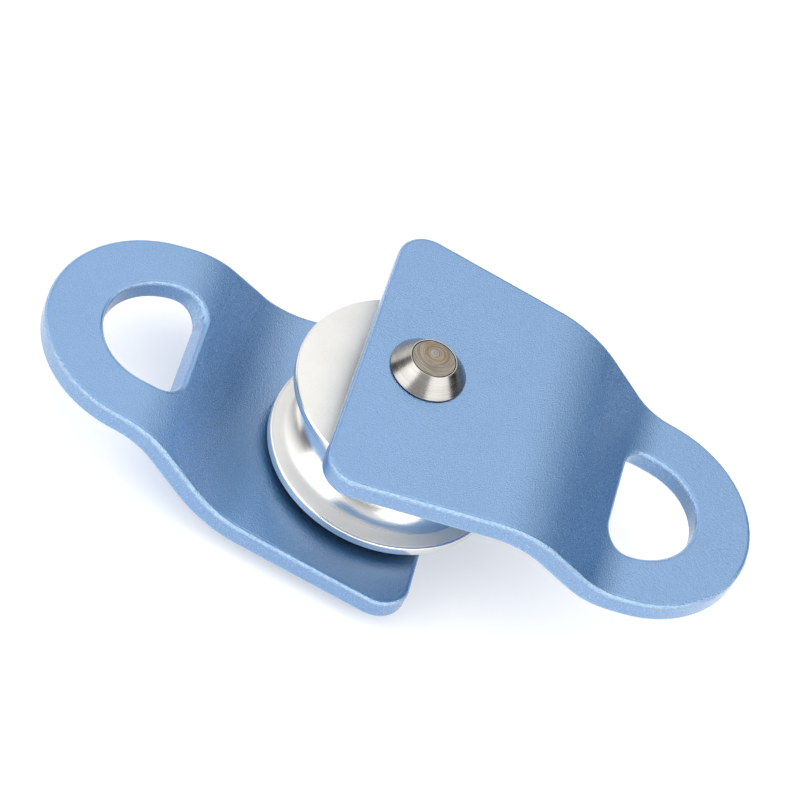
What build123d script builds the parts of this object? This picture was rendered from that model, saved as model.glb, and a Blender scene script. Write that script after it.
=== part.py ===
"""Swing-plate rope pulley: two joggled side plates that turn on a headed axle, with a
grooved sheave running between them on two sealed ball bearings.

Frame: the origin is on the axle, midway between the side plates. +Z runs along the axle
to the front plate. +X points to the front plate's eye and -X to the rear plate's eye, as
when the pulley is swung fully open. Millimetres.
"""
import os
from math import asin, cos, radians, sin, tan

from build123d import *

# Side plates, cut from flat sheet and pressed to a joggle. Heights are measured from the
# plane midway between the plates, and lengths from the axle along the plate.
sheet = 5.0
body_inner_face = 13.05
eye_inner_face = 0.6
tail_length = 13.45
tail_half_width = 36.2
tail_corner_radius = 6.5
side_taper = 8.8            # degrees from the plate's centre line to its side edge
bend_start = 22.2
bend_angle = 34.6
body_bend_radius = 23.5     # both bends are measured at the middle of the sheet
eye_bend_radius = 17.0
eye_center = 50.8
eye_radius = 25.2
hole_center = 50.3
hole_radius = 13.5
hole_flat = 45.1            # where the hole's straight side crosses the middle of the sheet
hole_corner_radius = 5.3
plate_rounding = 1.0
plate_turn = 0.75           # each plate rests this many degrees off the X axis

# Axle, with a head on its rear end and a collar of the same shape on its front end
axle_radius = 5.0
plate_bore_radius = 5.05
swing_gap = 0.15            # play on both faces of each plate
head_radius = 7.95
head_end_radius = 4.87
head_base_band = 0.25
head_length = 3.9
head_rounding = 0.15
spigot_radius = 4.6         # turned-down front end that the collar is pressed on
spigot_chamfer = 0.15

# Sheave
sheave_radius = 25.0
sheave_width = 20.8
rim_chamfer = 0.35
rim_rounding = 0.4
groove_bottom_radius = 17.0
groove_arc_radius = 7.8
groove_flank_angle = 17.7
sheave_play = 0.5           # to each side of the middle; the sheave rests at the rear

# Two sealed ball bearings, 10 x 22 x 6, one on each side of a rib in the sheave's bore
bearing_radius = 11.0
bearing_width = 6.0
ring_bore_radius = 5.01
rib_width = 2.0
rib_radius = 9.8
ball_radius = 3.175 / 2
ball_count = 11
pitch_radius = 8.0
ball_clearance = 0.05
inner_land_radius = 6.9
outer_land_radius = 9.1
ring_chamfer = 0.25
cage_inner_radius = 7.45
cage_outer_radius = 8.55
cage_width = 4.0
seal_inner_radius = 7.0
seal_outer_radius = 9.9
seal_thickness = 0.6
seal_depth = 0.1            # how far a seal lies below the bearing's face

# Circlips that keep the bearings in the sheave
circlip_thickness = 1.0
circlip_groove_width = 1.1
circlip_outer_radius = 11.5
circlip_inner_radius = 10.2
circlip_gap_angle = 12      # half of the opening between the lugs
lug_center_radius = 9.7
lug_angle = 20
lug_radius = 1.3
lug_hole_radius = 0.6

# Spacers on the axle
spacer_radius = 6.8
spacer_chamfer = 0.3

# Worked-out dimensions
plate_outer_face = body_inner_face + sheet
body_middle = body_inner_face + sheet / 2
eye_middle = eye_inner_face + sheet / 2
plate_length = eye_center + eye_radius
slope = radians(bend_angle)
both_bends = body_bend_radius + eye_bend_radius
run_length = (body_middle - eye_middle - both_bends * (1 - cos(slope))) / sin(slope)
eye_bend_start = bend_start + body_bend_radius * sin(slope) + run_length * cos(slope)
eye_bend_end = eye_bend_start + eye_bend_radius * sin(slope)
head_base = plate_outer_face + swing_gap
axle_end = head_base + head_length
sheave_z = -sheave_play
bearing_stack = rib_width + 2 * bearing_width
spacer_outer_face = body_inner_face - swing_gap
spacer_length = spacer_outer_face - bearing_stack / 2 - sheave_play

os.makedirs("parts", exist_ok=True)


def section_plane(z):
    """The plane of a turned part's half section: its x is a radius, its y a height."""
    return Plane(origin=(0, 0, z), x_dir=(1, 0, 0), z_dir=(0, -1, 0))


def ring_section(inner_radius, outer_radius, width, z=0, mode=Mode.ADD):
    """A rectangle in a half section, which makes a ring that wide with its middle at z."""
    with Locations(((inner_radius + outer_radius) / 2, z)):
        Rectangle(outer_radius - inner_radius, width, mode=mode)


def sheet_face(offset):
    """The side view of one face of the sheet, offset upwards from the sheet's middle."""
    body = Line((-tail_length, body_middle + offset), (bend_start, body_middle + offset))
    body_bend = JernArc(body @ 1, body % 1, body_bend_radius + offset, -bend_angle)
    run = PolarLine(body_bend @ 1, run_length, direction=body_bend % 1)
    eye_bend = JernArc(run @ 1, run % 1, eye_bend_radius - offset, bend_angle)
    eye = Line(eye_bend @ 1, (plate_length, eye_middle + offset))
    return body @ 0, eye @ 1


def side_point(x, along_sheet):
    """A point of the plate's side edge, which is straight while the sheet is flat."""
    return x, tail_half_width - (tail_length + along_sheet) * tan(radians(side_taper))


# Hole in a plate's eye. It is punched before the sheet is bent, so its straight side,
# which lies in the eye-side bend, stands square to the bent sheet.
hole_flat_tilt = asin((eye_bend_end - hole_flat) / eye_bend_radius)
hole_flat_height = eye_middle + eye_bend_radius * (1 - cos(hole_flat_tilt))
hole_flat_plane = Plane(
    origin=(hole_flat, 0, hole_flat_height),
    x_dir=(0, 1, 0),
    z_dir=(cos(hole_flat_tilt), 0, -sin(hole_flat_tilt)),
)

with BuildPart() as eye_hole:
    with BuildSketch():
        with Locations((hole_center, 0)):
            Circle(hole_radius)
    extrude(amount=body_inner_face)
    split(bisect_by=hole_flat_plane, keep=Keep.TOP)
    fillet(eye_hole.edges().filter_by(GeomType.ELLIPSE), hole_corner_radius)

# Side plate with its eye on +X: a joggled strip, cut to its outline and pierced
with BuildPart() as side_plate:
    with BuildSketch(Plane.XZ):
        with BuildLine():
            lower_start, lower_end = sheet_face(-sheet / 2)
            upper_start, upper_end = sheet_face(sheet / 2)
            Line(lower_start, upper_start)
            Line(lower_end, upper_end)
        make_face()
    extrude(amount=tail_half_width, both=True)
    with BuildSketch():
        with BuildLine():
            eye_arc = CenterArc((eye_center, 0), eye_radius, 0, 90 - side_taper)
            tail_corner = side_point(-tail_length, -tail_length)
            slope_length = body_bend_radius * slope + run_length
            taper = Vector(1, -tan(radians(side_taper)))
            Spline(
                tail_corner,
                side_point(bend_start, bend_start),
                side_point(eye_bend_start, bend_start + slope_length),
                eye_arc @ 1,
                tangents=[taper, taper],
            )
            Polyline(tail_corner, (-tail_length, 0), eye_arc @ 0)
        make_face()
        mirror(about=Plane.XZ)
    extrude(amount=plate_outer_face, mode=Mode.INTERSECT)
    fillet(side_plate.edges().filter_by(Axis.Z).group_by(Axis.X)[0], tail_corner_radius)
    add(eye_hole.part, mode=Mode.SUBTRACT)
    sheet_faces = side_plate.faces().filter_by(lambda face: abs(face.normal_at().Z) > 0.8)
    face_edges = [edge for face in sheet_faces for edge in face.edges()]
    fillet([edge for edge in face_edges if face_edges.count(edge) == 1], plate_rounding)
    Hole(plate_bore_radius)

with BuildPart() as front_side_plate:
    add(side_plate.part, rotation=(0, 0, -plate_turn))
front_side_plate.part.label = "front_side_plate"
export_step(front_side_plate.part, "parts/front_side_plate.step")

with BuildPart() as rear_side_plate:
    add(front_side_plate.part, rotation=(0, 180, 0))
rear_side_plate.part.label = "rear_side_plate"
export_step(rear_side_plate.part, "parts/rear_side_plate.step")

# Axle: turned in one piece with its rear head and stepped down at its front end
with BuildPart() as axle:
    with BuildSketch(section_plane(0)) as axle_section:
        with BuildLine():
            Polyline(
                (0, -axle_end),
                (head_end_radius, -axle_end),
                (head_radius, -head_base - head_base_band),
                (head_radius, -head_base),
                (axle_radius, -head_base),
                (axle_radius, head_base),
                (spigot_radius, head_base),
                (spigot_radius, axle_end),
                (0, axle_end),
                close=True,
            )
        make_face()
        chamfer(axle_section.vertices().group_by(Axis.Y)[-1].sort_by(Axis.X)[-1], spigot_chamfer)
        fillet(axle_section.vertices().group_by(Axis.X)[-1], head_rounding)
        fillet(axle_section.vertices().group_by(Axis.Y)[0].sort_by(Axis.X)[-1], head_rounding)
    revolve(axis=Axis.Z)
axle.part.label = "axle"
export_step(axle.part, "parts/axle.step")

# Collar: pressed on the axle's front end, with the rear head's shape
with BuildPart() as front_axle_collar:
    with BuildSketch(section_plane(0)) as collar_section:
        with BuildLine():
            Polyline(
                (spigot_radius, axle_end),
                (head_end_radius, axle_end),
                (head_radius, head_base + head_base_band),
                (head_radius, head_base),
                (spigot_radius, head_base),
                close=True,
            )
        make_face()
        fillet(collar_section.vertices().group_by(Axis.X)[-1], head_rounding)
    revolve(axis=Axis.Z)
front_axle_collar.part.label = "front_axle_collar"
export_step(front_axle_collar.part, "parts/front_axle_collar.step")

# Sheave: a rope groove outside, and two bearing seats and circlip grooves in its bore
with BuildPart() as sheave:
    with BuildSketch(section_plane(sheave_z)) as sheave_section:
        ring_section(rib_radius, sheave_radius, sheave_width)
        seat_depth = (sheave_width - rib_width) / 2
        for side in (-1, 1):
            seat_middle = side * (rib_width + seat_depth) / 2
            ring_section(rib_radius, bearing_radius, seat_depth, seat_middle, Mode.SUBTRACT)
            groove_middle = side * (bearing_stack + circlip_groove_width) / 2
            ring_section(
                bearing_radius,
                circlip_outer_radius,
                circlip_groove_width,
                groove_middle,
                Mode.SUBTRACT,
            )
        with BuildLine():
            bottom = CenterArc(
                (groove_bottom_radius + groove_arc_radius, 0),
                groove_arc_radius,
                90 + groove_flank_angle,
                180 - 2 * groove_flank_angle,
            )
            flank = sheave_radius - groove_bottom_radius
            upper = PolarLine(bottom @ 0, flank, groove_flank_angle)
            lower = PolarLine(bottom @ 1, flank, -groove_flank_angle)
            Line(upper @ 1, lower @ 1)
        make_face(mode=Mode.SUBTRACT)
        rim = sheave_section.vertices().group_by(Axis.X)[-1].sort_by(Axis.Y)
        fillet(rim[1:3], rim_rounding)
        rim = sheave_section.vertices().group_by(Axis.X)[-1].sort_by(Axis.Y)
        chamfer([rim[0], rim[-1]], rim_chamfer)
    revolve(axis=Axis.Z)
sheave.part.label = "sheave"
export_step(sheave.part, "parts/sheave.step")

# Bearings: each has two rings, its balls, a cage for them and a seal on each face
for place, side in (("front", 1), ("rear", -1)):
    bearing_z = sheave_z + side * (rib_width + bearing_width) / 2
    seal_middle = bearing_width / 2 - seal_depth - seal_thickness / 2
    race_radius = ball_radius + ball_clearance

    with BuildPart() as outer_ring:
        with BuildSketch(section_plane(bearing_z)) as outer_section:
            ring_section(outer_land_radius, bearing_radius, bearing_width)
            chamfer(outer_section.vertices().group_by(Axis.X)[-1], ring_chamfer)
            with Locations((pitch_radius, 0)):
                Circle(race_radius, mode=Mode.SUBTRACT)
            seat_width = seal_thickness + seal_depth
            seat_middle = (bearing_width - seat_width) / 2
            for face in (-1, 1):
                ring_section(
                    outer_land_radius,
                    seal_outer_radius,
                    seat_width,
                    face * seat_middle,
                    Mode.SUBTRACT,
                )
        revolve(axis=Axis.Z)
    outer_ring.part.label = f"{place}_bearing_outer_ring"
    export_step(outer_ring.part, f"parts/{place}_bearing_outer_ring.step")

    with BuildPart() as inner_ring:
        with BuildSketch(section_plane(bearing_z)) as inner_section:
            ring_section(ring_bore_radius, inner_land_radius, bearing_width)
            chamfer(inner_section.vertices().group_by(Axis.X)[0], ring_chamfer)
            with Locations((pitch_radius, 0)):
                Circle(race_radius, mode=Mode.SUBTRACT)
        revolve(axis=Axis.Z)
    inner_ring.part.label = f"{place}_bearing_inner_ring"
    export_step(inner_ring.part, f"parts/{place}_bearing_inner_ring.step")

    with BuildPart(Plane.XY.offset(bearing_z)) as balls:
        with PolarLocations(pitch_radius, ball_count):
            Sphere(ball_radius)
    balls.part.label = f"{place}_bearing_balls"
    export_step(balls.part, f"parts/{place}_bearing_balls.step")

    with BuildPart(Plane.XY.offset(bearing_z)) as cage:
        with BuildSketch(section_plane(bearing_z)):
            ring_section(cage_inner_radius, cage_outer_radius, cage_width)
        revolve(axis=Axis.Z)
        with PolarLocations(pitch_radius, ball_count):
            Cylinder(race_radius, cage_width, rotation=(0, 90, 0), mode=Mode.SUBTRACT)
    cage.part.label = f"{place}_bearing_cage"
    export_step(cage.part, f"parts/{place}_bearing_cage.step")

    for where, face in (("outer", side), ("inner", -side)):
        with BuildPart() as seal:
            with BuildSketch(section_plane(bearing_z + face * seal_middle)):
                ring_section(seal_inner_radius, seal_outer_radius, seal_thickness)
            revolve(axis=Axis.Z)
        seal.part.label = f"{place}_bearing_{where}_seal"
        export_step(seal.part, f"parts/{place}_bearing_{where}_seal.step")

# Ring between the bearings' inner rings
with BuildPart() as inner_ring_spacer:
    with BuildSketch(section_plane(sheave_z)):
        ring_section(ring_bore_radius, spacer_radius, rib_width)
    revolve(axis=Axis.Z)
inner_ring_spacer.part.label = "inner_ring_spacer"
export_step(inner_ring_spacer.part, "parts/inner_ring_spacer.step")

# Circlips and spacers, one of each on both sides of the sheave
for place, side in (("front", 1), ("rear", -1)):
    circlip_z = sheave_z + side * (bearing_stack + circlip_thickness) / 2
    with BuildPart() as circlip:
        with BuildSketch(Plane.XY.offset(circlip_z)):
            Circle(circlip_outer_radius)
            Circle(circlip_inner_radius, mode=Mode.SUBTRACT)
            gap_edge = Vector(2 * circlip_outer_radius, 0).rotate(Axis.Z, circlip_gap_angle)
            Polygon(
                (0, 0), (gap_edge.X, -gap_edge.Y), (gap_edge.X, gap_edge.Y),
                align=None, mode=Mode.SUBTRACT,
            )
            with PolarLocations(lug_center_radius, 2, -lug_angle, 2 * lug_angle, endpoint=True):
                Circle(lug_radius)
                Circle(lug_hole_radius, mode=Mode.SUBTRACT)
        extrude(amount=circlip_thickness / 2, both=True)
    circlip.part.label = f"{place}_circlip"
    export_step(circlip.part, f"parts/{place}_circlip.step")

    with BuildPart() as spacer:
        with BuildSketch(section_plane(side * (spacer_outer_face - spacer_length / 2))) as ring:
            ring_section(ring_bore_radius, spacer_radius, spacer_length)
            chamfer(ring.vertices().group_by(Axis.X)[-1], spacer_chamfer)
        revolve(axis=Axis.Z)
    spacer.part.label = f"{place}_spacer"
    export_step(spacer.part, f"parts/{place}_spacer.step")
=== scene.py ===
"""The looks of the swing-plate rope pulley: bead-blasted and anodised side plates, a turned
sheave and a turned stainless axle, on a pale floor under studio softboxes. The script works
in metres, in the CAD model's frame, and profiles of turned pieces are written in
millimetres."""
from math import atan2, cos, pi, radians, sin, tan

import bpy
from mathutils import Matrix, Vector


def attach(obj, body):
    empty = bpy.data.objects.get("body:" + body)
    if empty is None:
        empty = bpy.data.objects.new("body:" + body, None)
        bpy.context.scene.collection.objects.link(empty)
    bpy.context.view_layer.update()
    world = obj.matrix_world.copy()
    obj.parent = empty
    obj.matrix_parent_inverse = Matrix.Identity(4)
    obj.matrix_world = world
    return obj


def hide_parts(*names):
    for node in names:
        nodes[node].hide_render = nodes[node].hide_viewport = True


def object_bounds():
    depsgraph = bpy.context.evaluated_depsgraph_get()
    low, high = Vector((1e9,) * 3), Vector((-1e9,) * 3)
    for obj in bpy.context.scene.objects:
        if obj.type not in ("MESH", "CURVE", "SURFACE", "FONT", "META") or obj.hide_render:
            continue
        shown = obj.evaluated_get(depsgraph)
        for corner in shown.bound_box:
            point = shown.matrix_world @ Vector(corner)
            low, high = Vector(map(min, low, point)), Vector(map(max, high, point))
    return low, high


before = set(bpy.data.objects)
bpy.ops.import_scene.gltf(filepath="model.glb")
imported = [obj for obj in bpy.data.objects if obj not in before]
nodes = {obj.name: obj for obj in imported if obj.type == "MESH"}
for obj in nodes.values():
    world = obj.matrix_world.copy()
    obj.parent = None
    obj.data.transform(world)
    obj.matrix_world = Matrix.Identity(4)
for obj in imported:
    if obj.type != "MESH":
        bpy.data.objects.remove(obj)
cad_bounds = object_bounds()
MM = 0.001

# ---------------------------------------------------------------- camera, lights and floor
# Azimuth 0 is +X and azimuth 90 is +Y. Directions run from the object outwards.
CAMERA_AZIMUTH = -97.204
CAMERA_ELEVATION = 47.269
CAMERA_ROLL = radians(27.60)
CAMERA_DISTANCE = 688.96 * MM
CAMERA_AIM = Vector((-1.78, 3.54, 3.04)) * MM
CAMERA_LENS = 152.07
SENSOR_WIDTH = 36.0

# name: azimuth, elevation, distance, width, height, radiance
SOFTBOXES = {
    "back_softbox": (83, 50, 0.9, 0.80, 0.55, 0.2),
    "left_softbox": (-150, 27, 0.9, 0.74, 0.66, 1.9),
    "right_softbox": (-35, 27, 0.9, 1.08, 0.66, 1.75),
    "front_strip": (-88, 10, 0.9, 1.10, 0.24, 2.9),
    "back_card": (124, 9, 0.9, 1.25, 0.34, 1.3),
}
# The world's brightness rises with the height of the direction, and drops to a share of
# that on the near side, where the direction's Y is low.
WORLD_HORIZON = 0.0
WORLD_ZENITH = 1.64
WORLD_RISE = (0.10, 0.95)
WORLD_FRONT_SHARE = 0.6
WORLD_FRONT_DROP = (-0.3, -0.75)

# A painted pool of light: around the object the floor glows a little, and its glow and colour dim
# with distance, in millimetres.
FLOOR_COLOUR = 0.78
FLOOR_GLOW = 0.28
FLOOR_DIM_COLOUR = 0.30
FLOOR_BRIGHT_RADIUS = 150
FLOOR_DIM_RADIUS = 330
FLOOR_HALF = 3.0            # in metres


def direction(azimuth, elevation):
    """The unit vector that points that way, from angles in degrees."""
    a, e = radians(azimuth), radians(elevation)
    return Vector((cos(e) * cos(a), cos(e) * sin(a), sin(e)))


def add_camera():
    """A long lens above the near side, rolled about its own axis."""
    back = direction(CAMERA_AZIMUTH, CAMERA_ELEVATION)
    level = Vector((0, 0, 1)).cross(back).normalized()
    upright = back.cross(level)
    right = level * cos(CAMERA_ROLL) + upright * sin(CAMERA_ROLL)
    up = back.cross(right)
    data = bpy.data.cameras.new("camera")
    data.lens = CAMERA_LENS
    data.sensor_width = SENSOR_WIDTH
    data.clip_start = 0.01
    camera = bpy.data.objects.new("camera", data)
    camera.matrix_world = Matrix.LocRotScale(
        CAMERA_AIM + back * CAMERA_DISTANCE, Matrix((right, up, back)).transposed(), None
    )
    bpy.context.scene.collection.objects.link(camera)
    bpy.context.scene.camera = camera


def add_softbox(name, azimuth, elevation, distance, width, height, radiance):
    """A rectangular light that faces the object from that direction."""
    data = bpy.data.lights.new(name, "AREA")
    data.shape = "RECTANGLE"
    data.size = width
    data.size_y = height
    data.energy = radiance * pi * width * height
    light = bpy.data.objects.new(name, data)
    light.location = direction(azimuth, elevation) * distance
    light.rotation_euler = light.location.to_track_quat("Z", "Y").to_euler()
    bpy.context.scene.collection.objects.link(light)


def add_world():
    """An even studio: dim along the horizon and on the near side, and bright overhead."""
    world = bpy.data.worlds.new("studio")
    bpy.context.scene.world = world
    world.use_nodes = True
    tree = world.node_tree
    parts = tree.nodes.new("ShaderNodeSeparateXYZ")
    place = tree.nodes.new("ShaderNodeTexCoord").outputs["Generated"]
    tree.links.new(place, parts.inputs[0])
    total = tree.nodes.new("ShaderNodeMath")
    total.operation = "MULTIPLY"
    runs = (
        ("Z", *WORLD_RISE, WORLD_HORIZON, WORLD_ZENITH),
        ("Y", *WORLD_FRONT_DROP, 1.0, WORLD_FRONT_SHARE),
    )
    for socket, (axis, *span) in zip(total.inputs, runs):
        rise = tree.nodes.new("ShaderNodeMapRange")
        rise.interpolation_type = "SMOOTHSTEP"
        for target, value in zip(rise.inputs[1:5], span):
            target.default_value = value
        tree.links.new(parts.outputs[axis], rise.inputs[0])
        tree.links.new(rise.outputs[0], socket)
    tree.links.new(total.outputs[0], tree.nodes["Background"].inputs["Strength"])
    tree.nodes["Background"].inputs["Color"].default_value = (1, 1, 1, 1)


def add_mesh(name, points, faces, materials=()):
    """A mesh object made from points in metres."""
    mesh = bpy.data.meshes.new(name)
    mesh.from_pydata(points, [], faces)
    mesh.update()
    for material in materials:
        mesh.materials.append(material)
    piece = bpy.data.objects.new(name, mesh)
    bpy.context.scene.collection.objects.link(piece)
    return piece


# ---------------------------------------------------------------- materials
class Paint:
    """A principled material. Its methods add nodes and return their output sockets."""

    def __init__(self, name, **sockets):
        self.material = bpy.data.materials.new(name)
        self.material.use_nodes = True
        self.tree = self.material.node_tree
        self.shader = self.tree.nodes["Principled BSDF"]
        self.fill(self.shader, sockets)
        where = self.tree.nodes.new("ShaderNodeTexCoord")
        self.place, self.facing = where.outputs["Object"], where.outputs["Normal"]

    def fill(self, node, sockets):
        """Sets or links sockets, which are given by name with _ for a space, or by number."""
        for key, value in sockets.items():
            socket = node.inputs[int(key[1:]) if key[1:].isdigit() else key.replace("_", " ")]
            if isinstance(value, bpy.types.NodeSocket):
                self.tree.links.new(value, socket)
            else:
                socket.default_value = value

    def add(self, kind, settings=(), **sockets):
        node = self.tree.nodes.new("ShaderNode" + kind)
        for key, value in dict(settings).items():
            setattr(node, key, value)
        self.fill(node, sockets)
        return node

    def math(self, operation, a, b=0.0):
        return self.add("Math", {"operation": operation}, _0=a, _1=b).outputs[0]

    def times(self, a, b):
        return self.math("MULTIPLY", a, b)

    def noise(self, size, detail=2.0, roughness=0.5, where=None):
        """Noise with features about that many millimetres across."""
        return self.add(
            "TexNoise",
            Vector=where or self.place,
            Scale=1 / (size * MM),
            Detail=detail,
            Roughness=roughness,
        ).outputs[0]

    def remap(self, value, low, high, to_low, to_high, smooth=False):
        """The value's run from low to high, turned into one from to_low to to_high."""
        kind = {"interpolation_type": "SMOOTHSTEP" if smooth else "LINEAR"}
        run = {"_1": low, "_2": high, "_3": to_low, "_4": to_high}
        return self.add("MapRange", kind, _0=value, **run).outputs[0]

    def share(self, value, none_at, all_at, most=1.0):
        """0 where the value is none_at, and the most where it is all_at."""
        return self.remap(value, none_at, all_at, 0.0, most)

    def mix(self, factor, a, b):
        """A colour between a and b."""
        a, b = (c if isinstance(c, bpy.types.NodeSocket) else (*c, 1) for c in (a, b))
        return self.add("Mix", {"data_type": "RGBA"}, _0=factor, _6=a, _7=b).outputs[2]

    def bump(self, height, depth, under=None):
        """A bump whose full height is that many millimetres."""
        sockets = {"Height": height, "Distance": depth * MM, "Strength": 1.0}
        if under:
            sockets["Normal"] = under
        return self.add("Bump", **sockets).outputs[0]

    def height(self):
        """Z in millimetres."""
        z = self.add("SeparateXYZ", _0=self.place).outputs[2]
        return self.times(z, 1 / MM)

    def around(self):
        """Distance from the axle's line in millimetres."""
        scale = (1 / MM, 1 / MM, 0)
        flat = self.add("VectorMath", {"operation": "MULTIPLY"}, _0=self.place, _1=scale)
        return self.add("VectorMath", {"operation": "LENGTH"}, _0=flat.outputs[0]).outputs["Value"]

    def lathe_lines(self, size, drift=0.02, detail=3.0):
        """Turning marks: noise that depends on radius and height, and hardly on the angle."""
        axes = self.add("SeparateXYZ", _0=self.place)
        spot = self.add(
            "CombineXYZ",
            _0=self.times(self.around(), MM),
            _1=self.times(axes.outputs[0], drift),
            _2=self.math("ADD", axes.outputs[2], self.times(axes.outputs[1], drift)),
        )
        return self.noise(size, detail, 0.6, spot.outputs[0])

    def finish(self, **sockets):
        self.fill(self.shader, sockets)
        return self.material


PLATE_BLUE = (0.060, 0.212, 0.450)
PLATE_BLUE_PALER = (0.070, 0.229, 0.478)
GRAIN_BLUE = (0.097, 0.279, 0.545)
SPECK_BLUE = (0.030, 0.125, 0.340)
# Tones that paint light and shade into the plates: slope shading, glints, sparkle shade, edge
# highlight and hollow shade.
SLOPE_PAINTED_SHADING_BLUE = (0.105, 0.330, 0.730)
PAINTED_GLINT_BLUE = (0.26, 0.46, 0.74)
PAINTED_SPARKLE_SHADE_BLUE = (0.012, 0.075, 0.240)
EDGE_HIGHLIGHT_BLUE = (0.25, 0.42, 0.63)
HOLLOW_SHADE_BLUE = (0.003, 0.020, 0.095)
SHADE_REACH = 3.0


def anodised_plate(name):
    """Bead-blasted aluminium under a light steel-blue anodised layer.

    The flats are even. Light and shade are painted into the colour: the joggle's slopes get a
    deeper blue as painted shading, the rounded edges a paler painted highlight, tilted faces
    painted glints and dark painted sparkle specks, and the gap behind the sheave painted shade."""
    p = Paint(name, Metallic=1.0, Coat_Weight=1.0, Coat_Roughness=0.22, Coat_IOR=2.15)
    grain = p.noise(0.34, 2.0, 0.6)
    fine = p.noise(0.20, 1.0, 0.5)
    clouds = p.noise(14.0, 3.0, 0.55)
    crinkle = p.noise(0.62, 2.0, 0.6)
    facing = p.add("SeparateXYZ", _0=p.facing)
    up = p.math("ABSOLUTE", facing.outputs[2])
    aside = p.math("ABSOLUTE", facing.outputs[1])
    occlusion_shade = p.add("AmbientOcclusion", {"samples": 8}, Distance=SHADE_REACH * MM).outputs["AO"]

    slope_shading = p.times(p.share(up, 0.97, 0.82, 0.7), p.share(up, 0.30, 0.60))
    steep = p.times(p.share(up, 0.81, 0.72), p.share(up, 0.50, 0.60))
    sideways = p.times(p.share(aside, 0.12, 0.30), p.share(up, 0.965, 0.87))
    edge = p.math("MAXIMUM", steep, p.times(sideways, p.share(up, 0.05, 0.35)))

    tone = p.mix(p.share(clouds, 0.35, 0.65), PLATE_BLUE, PLATE_BLUE_PALER)
    tone = p.mix(p.share(grain, 0.35, 0.65, 0.7), tone, GRAIN_BLUE)
    tone = p.mix(p.share(fine, 0.60, 0.72, 0.5), tone, SPECK_BLUE)
    # Painted shading: the joggle's slopes, picked out by the way they face, get a deeper blue.
    tone = p.mix(slope_shading, tone, SLOPE_PAINTED_SHADING_BLUE)
    # Painted highlights: bright glint specks, stronger on tilted faces.
    painted_glints = p.share(p.noise(0.26, 1.0, 0.5), 0.60, 0.70)
    tone = p.mix(p.times(painted_glints, p.remap(up, 0.98, 0.86, 0.2, 0.8)), tone, PAINTED_GLINT_BLUE)
    # Painted shade: dark sparkle specks, only on tilted faces.
    sparkle_shade_specks = p.share(p.noise(0.24, 1.0, 0.5), 0.40, 0.30)
    tone = p.mix(p.times(sparkle_shade_specks, p.share(up, 0.98, 0.86, 0.7)), tone, PAINTED_SPARKLE_SHADE_BLUE)
    # Painted highlight: a paler blue on the rounded edges, broken up by the crinkle noise.
    tone = p.mix(p.times(edge, p.remap(crinkle, 0.38, 0.58, 0.4, 1.0)), tone, EDGE_HIGHLIGHT_BLUE)
    # Painted shade: the colour goes to near-black blue where the occlusion mask finds parts close
    # by, as behind the sheave.
    tone = p.mix(p.share(occlusion_shade, 0.70, 0.35, 0.95), tone, HOLLOW_SHADE_BLUE)

    rough = p.times(p.remap(grain, 0.3, 0.7, 0.40, 0.52), p.remap(edge, 0.0, 1.0, 1.0, 0.65))
    heights = p.math("ADD", p.times(grain, 0.7), p.times(fine, 0.3))
    heights = p.times(heights, p.remap(edge, 0.0, 1.0, 0.5, 1.0))
    heights = p.math("ADD", heights, p.times(crinkle, p.times(edge, 0.4)))
    return p.finish(
        Base_Color=tone,
        Roughness=rough,
        Normal=p.bump(heights, 0.35),
        Coat_Normal=p.bump(heights, 0.21),
    )


def turned_aluminium(name):
    """The sheave: matt clear-anodised faces and a groove polished by its finishing tool."""
    p = Paint(name, Metallic=1.0)
    radius = p.around()
    lines = p.lathe_lines(0.11)
    broad = p.lathe_lines(0.9)
    mottle = p.noise(0.35, 3.0, 0.6)
    clouds = p.noise(9.0, 2.0, 0.5)
    off_middle = p.math("ABSOLUTE", p.math("ADD", p.height(), -SHEAVE_MIDDLE))
    in_groove = p.remap(radius, 22.8, 21.4, 0.0, 1.0, smooth=True)
    on_rim = p.share(radius, SHEAVE_RADIUS - 0.5, SHEAVE_RADIUS - 0.4)
    on_face = p.share(off_middle, SHEAVE_HALF - 0.2, SHEAVE_HALF - 0.05)
    polished = p.times(p.math("MAXIMUM", in_groove, on_rim), p.math("SUBTRACT", 1.0, on_face))
    tone = p.mix(p.share(clouds, 0.35, 0.65), (0.690, 0.683, 0.660), (0.725, 0.718, 0.698))
    tone = p.mix(p.share(mottle, 0.62, 0.72, 0.35), tone, (0.58, 0.57, 0.55))
    tone = p.mix(p.share(lines, 0.35, 0.65, 0.14), tone, (0.62, 0.61, 0.59))
    tone = p.mix(polished, tone, (0.75, 0.742, 0.725))
    matt = p.remap(mottle, 0.35, 0.65, 0.46, 0.56)
    shiny = p.remap(broad, 0.35, 0.65, 0.16, 0.24)
    rough = p.add("Mix", {"data_type": "FLOAT"}, _0=polished, _2=matt, _3=shiny).outputs[0]
    frost = p.bump(mottle, 0.012)
    surface = p.bump(lines, 0.004, under=frost)
    return p.finish(Base_Color=tone, Roughness=rough, Normal=surface)


def turned_steel(name, tone_a, tone_b, smooth, rough, line_size, line_depth):
    """Stainless steel with turning marks round the axle's line."""
    p = Paint(name, Metallic=1.0)
    lines = p.lathe_lines(line_size, detail=1.0)
    bands = p.lathe_lines(0.7)
    smudges = p.noise(2.4, 3.0, 0.6)
    dark = tuple(0.62 * c for c in tone_a)
    tone = p.mix(p.share(bands, 0.35, 0.65), tone_a, tone_b)
    tone = p.mix(p.share(lines, 0.55, 0.75, 0.35), tone, dark)
    tone = p.mix(p.share(smudges, 0.55, 0.75, 0.25), tone, dark)
    wear = p.math("ADD", p.times(lines, 0.6), p.times(smudges, 0.4))
    finish = p.remap(wear, 0.35, 0.65, smooth, rough)
    return p.finish(Base_Color=tone, Roughness=finish, Normal=p.bump(lines, line_depth))


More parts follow.
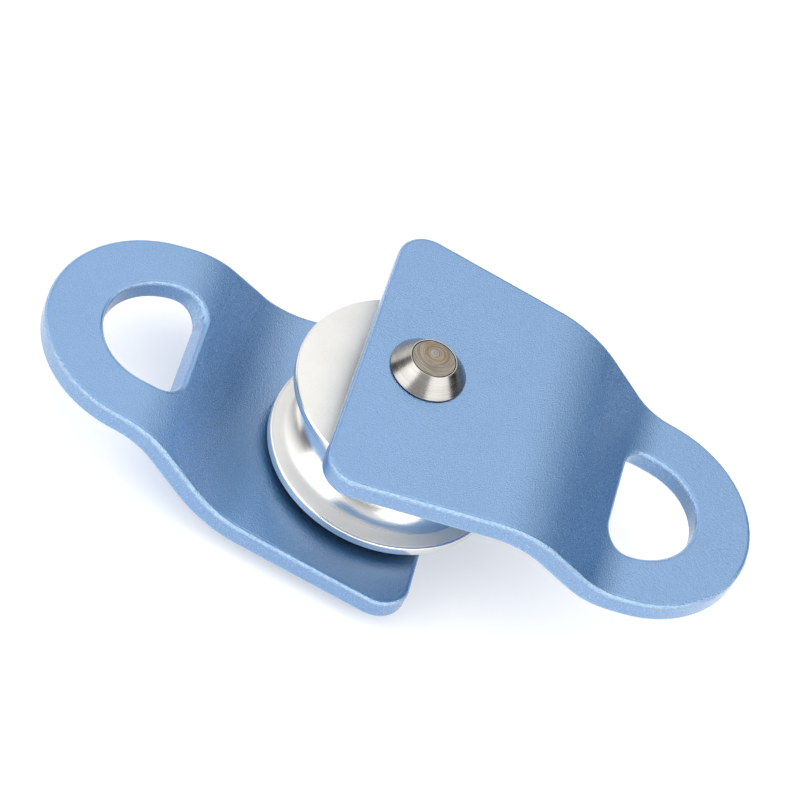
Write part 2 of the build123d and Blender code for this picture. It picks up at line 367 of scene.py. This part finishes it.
def faced_steel(name):
    """The axle's end: swirls of the facing tool about a point off its middle.

    The swirls' middle is grey, with a straw-coloured ring round it."""
    p = Paint(name, Metallic=1.0)
    centre = (0, SWIRL_OFFSET * MM, 0)
    p.place = p.add("VectorMath", {"operation": "SUBTRACT"}, _0=p.place, _1=centre).outputs[0]
    radius = p.around()
    lines = p.lathe_lines(0.16, 0.05)
    bands = p.lathe_lines(0.55, 0.08)
    blotches = p.noise(1.3, 3.0, 0.6)
    ring = p.times(
        p.remap(radius, 1.0, 1.5, 0.0, 1.0, smooth=True),
        p.remap(radius, 2.9, 2.2, 0.0, 1.0, smooth=True),
    )
    straw = p.times(ring, p.remap(blotches, 0.40, 0.60, 0.1, 0.6))
    tone = p.mix(p.share(bands, 0.38, 0.62), (0.31, 0.275, 0.235), (0.21, 0.175, 0.14))
    tone = p.mix(p.share(radius, 1.3, 0.9, 0.6), tone, (0.30, 0.30, 0.305))
    tone = p.mix(straw, tone, (0.30, 0.20, 0.095))
    tone = p.mix(p.share(lines, 0.50, 0.60, 0.65), tone, (0.11, 0.095, 0.08))
    return p.finish(
        Base_Color=tone,
        Roughness=p.remap(lines, 0.35, 0.65, 0.26, 0.40),
        Normal=p.bump(p.math("ADD", lines, p.times(bands, 2.0)), 0.016),
    )


def plain_metal(name, tone, worn, rough_low, rough_high, grain_size):
    """A ground or phosphated metal for the small parts inside."""
    p = Paint(name, Metallic=1.0)
    grain = p.noise(grain_size, 3.0, 0.6)
    clouds = p.noise(3.0, 2.0, 0.5)
    colour = p.mix(p.share(clouds, 0.35, 0.65), tone, worn)
    rough = p.remap(grain, 0.3, 0.7, rough_low, rough_high)
    return p.finish(Base_Color=colour, Roughness=rough, Normal=p.bump(grain, 0.004))


def moulded(name, tone, worn, rough_low, rough_high):
    """Moulded rubber or plastic, slightly uneven."""
    p = Paint(name, Metallic=0.0)
    grain = p.noise(0.25, 3.0, 0.6)
    clouds = p.noise(2.5, 2.0, 0.5)
    colour = p.mix(p.share(clouds, 0.35, 0.65), tone, worn)
    rough = p.remap(grain, 0.3, 0.7, rough_low, rough_high)
    return p.finish(Base_Color=colour, Roughness=rough, Normal=p.bump(grain, 0.01))


# ---------------------------------------------------------------- turned pieces
ARC_STEP = radians(12)


def rounded(corners):
    """A closed profile of (radius, height, rounding) corners, with each rounding as an arc."""
    points = []
    count = len(corners)
    for i, (r, z, rounding) in enumerate(corners):
        here = Vector((r, z))
        before = Vector(corners[i - 1][:2]) - here
        after = Vector(corners[(i + 1) % count][:2]) - here
        if not rounding:
            points.append((r, z))
            continue
        before.normalize()
        after.normalize()
        half = before.angle(after) / 2
        reach = rounding / tan(half)
        centre = here + (before + after).normalized() * (rounding / sin(half))
        first = here + before * reach - centre
        last = here + after * reach - centre
        sweep = atan2(first.x * last.y - first.y * last.x, first.dot(last))
        steps = max(2, round(abs(sweep) / ARC_STEP))
        for k in range(steps + 1):
            turn = Matrix.Rotation(sweep * k / steps, 2)
            points.append(tuple(centre + turn @ first))
    return points


def lathe(name, profile, materials, zone=None, segments=240):
    """Turns a closed profile of (radius, height) points in millimetres about the axle's line.

    Points on the axis make a pole. zone(radius, height) gives a face's material number."""
    points, rings = [], []
    for r, z in profile:
        if r < 1e-6:
            rings.append([len(points)] * segments)
            points.append((0, 0, z * MM))
            continue
        rings.append(list(range(len(points), len(points) + segments)))
        for k in range(segments):
            a = 2 * pi * k / segments
            points.append((r * cos(a) * MM, r * sin(a) * MM, z * MM))
    faces, kinds = [], []
    for i, ring in enumerate(rings):
        other = rings[(i + 1) % len(rings)]
        if ring[0] == ring[1] and other[0] == other[1]:
            continue
        (r0, z0), (r1, z1) = profile[i], profile[(i + 1) % len(rings)]
        kind = zone((r0 + r1) / 2, (z0 + z1) / 2) if zone else 0
        for k in range(segments):
            m = (k + 1) % segments
            quad = [ring[k], ring[m], other[m], other[k]]
            face = [v for j, v in enumerate(quad) if v != quad[j - 1]]
            faces.append(face)
            kinds.append(kind)
    piece = add_mesh(name, points, faces, materials)
    mesh = piece.data
    mesh.polygons.foreach_set("material_index", kinds)
    mesh.polygons.foreach_set("use_smooth", [True] * len(faces))
    mesh.set_sharp_from_angle(angle=radians(25))
    mesh.update()
    return piece


def faced_end(radius, z, side):
    """Points from a turned end's middle, which stands at z, down a slight crown to its edge.

    side is the way that the end faces."""
    steps = 24
    return [(radius * k / steps, z - side * END_CROWN * (k / steps) ** 2) for k in range(steps + 1)]


# Sizes of the turned pieces in millimetres. Heights are from the plane midway between the
# side plates, except the sheave's, which are from its own middle.
AXLE_RADIUS = 5.0
SPIGOT_RADIUS = 4.6
HEAD_BASE = 18.2
HEAD_END = 22.1
HEAD_RADIUS = 7.95
HEAD_END_RADIUS = 4.87
HEAD_BAND = 0.25            # the short upright wall at the foot of each cone
END_CROWN = 0.12            # how far each end's middle stands above its edge
SEAM_DEPTH = 0.36           # the shallow ring between the collar and the axle's end
SEAM_INSIDE = 0.11          # how far the ring reaches into the spigot
SWIRL_OFFSET = 1.4          # from the axle's line to the middle of the swirls on its end

SHEAVE_MIDDLE = -0.5
SHEAVE_RADIUS = 25.0
SHEAVE_HALF = 10.4          # half its width
GROOVE_BOTTOM = 17.0
GROOVE_ARC = 7.8
GROOVE_FLANK = radians(17.7)
BEARING_SEAT = 11.0         # radius of the bore that holds each bearing
RIB_RADIUS = 9.8
RIB_HALF = 1.0
CLIP_GROOVE_RADIUS = 11.5
CLIP_GROOVE_INNER = 7.0     # where each circlip's groove starts and ends, from the middle
CLIP_GROOVE_OUTER = 8.1
BORE_CHAMFER = 0.25
RIM_CHAMFER = 0.35
RIM_ROUNDING = 0.4
SOFTENED = 0.06             # rounding on the chamfers' corners


def axle_profile():
    """The axle with its rear head, from the front end's middle to the rear end's middle."""
    front = faced_end(SPIGOT_RADIUS - SEAM_INSIDE, HEAD_END, 1)
    body = rounded(
        [
            (SPIGOT_RADIUS - 0.06, HEAD_END - 0.18, 0),
            (SPIGOT_RADIUS, HEAD_END - SEAM_DEPTH, 0),
            (SPIGOT_RADIUS, HEAD_BASE, 0),
            (AXLE_RADIUS, HEAD_BASE, 0),
            (AXLE_RADIUS, -HEAD_BASE, 0),
            (HEAD_RADIUS, -HEAD_BASE, 0.1),
            (HEAD_RADIUS, -HEAD_BASE - HEAD_BAND, 0.12),
            (HEAD_END_RADIUS, -HEAD_END, 0.15),
        ]
    )
    rear = faced_end(SPIGOT_RADIUS, -HEAD_END, -1)
    return front + body + rear[::-1]


def collar_profile():
    """The collar on the axle's front end, with a shallow ring where it meets the spigot."""
    return rounded(
        [
            (SPIGOT_RADIUS + 0.01, HEAD_END - SEAM_DEPTH, 0),
            (SPIGOT_RADIUS + 0.08, HEAD_END - 0.06, 0.03),
            (HEAD_END_RADIUS, HEAD_END - 0.04, 0.06),
            (HEAD_RADIUS, HEAD_BASE + HEAD_BAND, 0.12),
            (HEAD_RADIUS, HEAD_BASE, 0.1),
            (SPIGOT_RADIUS + 0.01, HEAD_BASE, 0),
        ]
    )


def sheave_profile():
    """The sheave's section: faces, rims, rope groove, and the bearing seats in its bore."""
    mid, half, rim = SHEAVE_MIDDLE, SHEAVE_HALF, SHEAVE_RADIUS
    arc_r = GROOVE_BOTTOM + GROOVE_ARC
    arc = []
    for k in range(33):
        a = (pi - 2 * GROOVE_FLANK) * (k / 32 - 0.5)
        arc.append((arc_r - GROOVE_ARC * cos(a), mid - GROOVE_ARC * sin(a), 0))
    flank_r, flank_z = arc[0][0], arc[0][1] - mid

    def flank(r):
        """Half the groove's width at that radius."""
        return flank_z + (r - flank_r) * tan(GROOVE_FLANK)

    def crease(side):
        """A fine tool line in the flank, a little inside the rim."""
        line = [(24.36, 0.0), (24.40, 0.04), (24.46, 0.04), (24.50, 0.0)]
        return [(r, mid + side * (flank(r) + d), 0) for r, d in line]

    bore = []
    for side in (-1, 1):
        steps = [
            (RIB_RADIUS, RIB_HALF),
            (BEARING_SEAT, RIB_HALF),
            (BEARING_SEAT, CLIP_GROOVE_INNER),
            (CLIP_GROOVE_RADIUS, CLIP_GROOVE_INNER),
            (CLIP_GROOVE_RADIUS, CLIP_GROOVE_OUTER),
            (BEARING_SEAT, CLIP_GROOVE_OUTER),
        ]
        seat = [(r, mid + side * h, 0) for r, h in steps]
        bore.append(seat if side == 1 else seat[::-1])
    edge = flank(rim)
    return rounded(
        bore[1]
        + [
            (BEARING_SEAT, mid + half, BORE_CHAMFER),
            (rim - RIM_CHAMFER, mid + half, SOFTENED),
            (rim, mid + half - RIM_CHAMFER, SOFTENED),
            (rim, mid + edge, RIM_ROUNDING),
        ]
        + crease(1)[::-1]
        + arc
        + crease(-1)
        + [
            (rim, mid - edge, RIM_ROUNDING),
            (rim, mid - half + RIM_CHAMFER, SOFTENED),
            (rim - RIM_CHAMFER, mid - half, SOFTENED),
            (BEARING_SEAT, mid - half, BORE_CHAMFER),
        ]
        + bore[0]
    )


# ---------------------------------------------------------------- the scene
add_camera()
for box_name, box in SOFTBOXES.items():
    add_softbox(box_name, *box)
add_world()
bpy.context.scene.view_settings.view_transform = "Standard"

# Painted pool of light: glow and a lighter colour near the object, fading out between the two
# radii.
paper = Paint("floor_paper", Roughness=0.9, Emission_Strength=FLOOR_GLOW)
away = paper.remap(paper.around(), FLOOR_BRIGHT_RADIUS, FLOOR_DIM_RADIUS, 0.0, 1.0, smooth=True)
paper.finish(
    Base_Color=paper.mix(away, (FLOOR_COLOUR,) * 3, (FLOOR_DIM_COLOUR,) * 3),
    Emission_Color=paper.mix(away, (1, 1, 1), (0, 0, 0)),
)
floor_z = cad_bounds[0][2]
floor = add_mesh(
    "floor",
    [(x * FLOOR_HALF, y * FLOOR_HALF, floor_z) for x, y in ((-1, -1), (1, -1), (1, 1), (-1, 1))],
    [(0, 1, 2, 3)],
    [paper.material],
)

plate_blue = anodised_plate("plate_anodised")
aluminium = turned_aluminium("sheave_turned")
cone_steel = turned_steel(
    "steel_turned", (0.42, 0.41, 0.39), (0.37, 0.355, 0.33), 0.19, 0.28, 0.30, 0.012
)
# Painted shade: nearly black steel in the shallow seam between the collar and the axle's end.
seam_shade_steel = turned_steel(
    "steel_seam_painted_shade", (0.030, 0.026, 0.022), (0.050, 0.044, 0.036), 0.45, 0.60, 0.30, 0.004
)
end_steel = faced_steel("steel_faced")
spacer_steel = turned_steel(
    "steel_spacer", (0.55, 0.54, 0.52), (0.50, 0.49, 0.47), 0.22, 0.32, 0.10, 0.004
)
ring_steel = plain_metal(
    "bearing_steel", (0.60, 0.60, 0.61), (0.54, 0.54, 0.55), 0.12, 0.25, 0.15
)
ball_steel = plain_metal("ball_steel", (0.66, 0.66, 0.67), (0.62, 0.62, 0.63), 0.04, 0.09, 0.4)
clip_steel = plain_metal(
    "circlip_steel", (0.10, 0.10, 0.11), (0.14, 0.13, 0.13), 0.32, 0.50, 0.12
)
cage_plastic = moulded("cage_polyamide", (0.70, 0.63, 0.48), (0.62, 0.55, 0.41), 0.40, 0.55)
seal_rubber = moulded("seal_rubber", (0.030, 0.030, 0.032), (0.045, 0.044, 0.043), 0.45, 0.65)

# The first of these words that a CAD node's name holds gives its material.
CAD_MATERIALS = (
    ("side_plate", plate_blue),
    ("outer_ring", ring_steel),
    ("inner_ring", ring_steel),
    ("spacer", spacer_steel),
    ("balls", ball_steel),
    ("cage", cage_plastic),
    ("seal", seal_rubber),
    ("circlip", clip_steel),
)
for node_name, node in nodes.items():
    for word, material in CAD_MATERIALS:
        if word in node_name:
            node.data.materials.clear()
            node.data.materials.append(material)
            break


def axle_zone(r, z):
    """1 on the turned end faces, 2 in the seam round the front one, which gets painted shade, and 0
    on the rest.
    """
    if abs(z) < HEAD_END - SEAM_DEPTH or r > SPIGOT_RADIUS:
        return 0
    return 2 if r > SPIGOT_RADIUS - SEAM_INSIDE and z > 0 else 1


def collar_zone(r, z):
    """1 in the seam round the axle's end, which gets painted shade, and 0 on the rest."""
    return int(r < SPIGOT_RADIUS + 0.06)


turned_axle = lathe("turned_axle", axle_profile(), [cone_steel, end_steel, seam_shade_steel], axle_zone)
turned_collar = lathe(
    "turned_collar", collar_profile(), [cone_steel, seam_shade_steel], collar_zone
)
turned_sheave = lathe("turned_sheave", sheave_profile(), [aluminium], segments=360)
for piece, body, node_name, slot in (
    (turned_axle, "axle_group", "axle", "axle"),
    (turned_collar, "axle_group", "front_axle_collar", "axle"),
    (turned_sheave, "sheave_group", "sheave", "sheave"),
):
    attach(piece, body)
    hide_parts(node_name)
